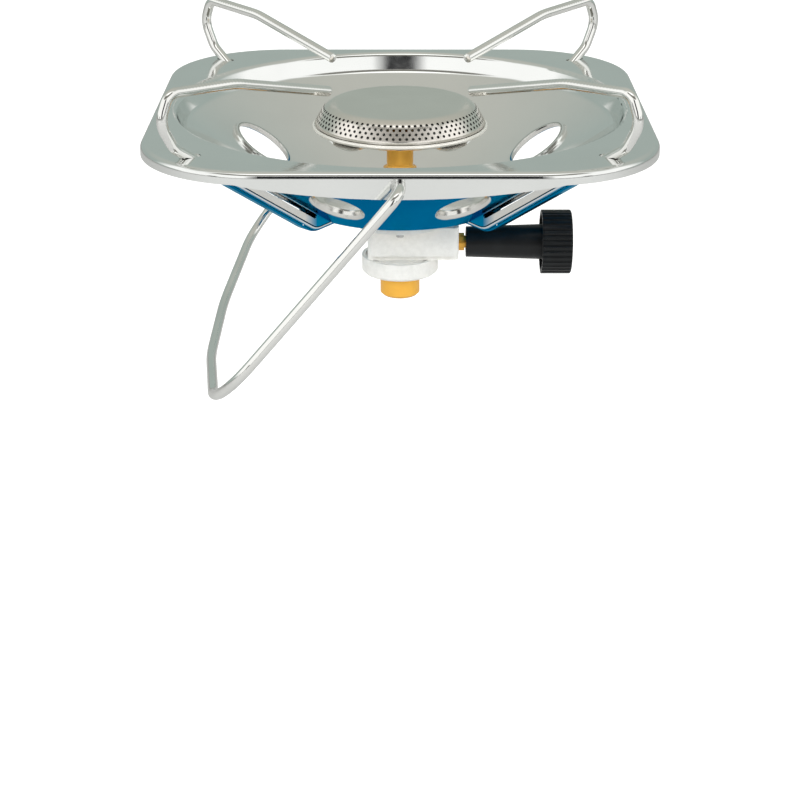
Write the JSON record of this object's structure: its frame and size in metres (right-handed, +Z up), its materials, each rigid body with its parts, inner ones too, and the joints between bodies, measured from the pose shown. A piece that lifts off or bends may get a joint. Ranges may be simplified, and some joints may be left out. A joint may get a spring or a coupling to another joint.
{
  "type": "gas stove",
  "caption": "Screw-on camping gas stove: chromed square tray with wire pan supports, perforated round burner, blue ribbed bowl, needle valve with knob and swinging wire bail.",
  "frame": {"origin": "on the stove's axis, on the seat under the valve collar where the threaded spigot starts", "axes": "+Z up along the stove's axis, +X towards the knob, -Y towards the viewer of the picture"},
  "size_m": [0.1912, 0.2144, 0.1224],
  "materials": {
    "chrome": "bright chrome plate on pressed steel and wire",
    "blue_lacquer": "gloss blue lacquer on pressed steel, bright at the rolled edges",
    "burner_steel": "satin stainless steel",
    "brass": "turned brass",
    "casting": "sand-blasted light-alloy die casting",
    "pin_steel": "ground steel",
    "sintered_bronze": "porous sintered bronze",
    "seal_rubber": "black nitrile rubber",
    "black_plastic": "semi-gloss moulded plastic",
    "rivet_steel": "plated steel"
  },
  "bodies": {
    "stove": {"tray": "chrome", "pan_support_front_left": "chrome", "pan_support_front_right": "chrome", "pan_support_back_left": "chrome", "pan_support_back_right": "chrome", "support_bowl": "blue_lacquer", "burner_cap": "burner_steel", "burner_cup": "burner_steel", "mixing_tube": "brass", "tube_nut": "brass", "gas_jet": "brass", "inlet_spigot": "brass", "gland_nut": "brass", "valve_body": "casting", "depressor_pin": "pin_steel", "inlet_filter": "sintered_bronze", "spindle_o_ring": "seal_rubber", "bowl_rivets": "rivet_steel"},
    "bail": {"carry_bail": "chrome"},
    "needle": {"valve_pad": "seal_rubber"},
    "knob": {"valve_spindle": "brass", "control_knob": "black_plastic"}
  },
  "joints": [
    {"name": "bail_swing", "type": "hinge", "parent": "stove", "child": "bail", "pos_m": [0, 0, 0.0643], "axis": [0, 1, 0], "range_deg": [0, 280]},
    {"name": "knob_turn", "type": "hinge", "parent": "stove", "child": "knob", "pos_m": [0, 0, 0.012], "axis": [1, 0, 0], "range_deg": [0, 540]},
    {"name": "spindle_travel", "type": "slide", "parent": "stove", "child": "needle", "axis": [1, 0, 0], "range_m": [0, 0.0018]}
  ],
  "couplings": [
    {"joint": "spindle_travel", "follows": "knob_turn", "m_per_rad": 0.00015915}
  ]
}
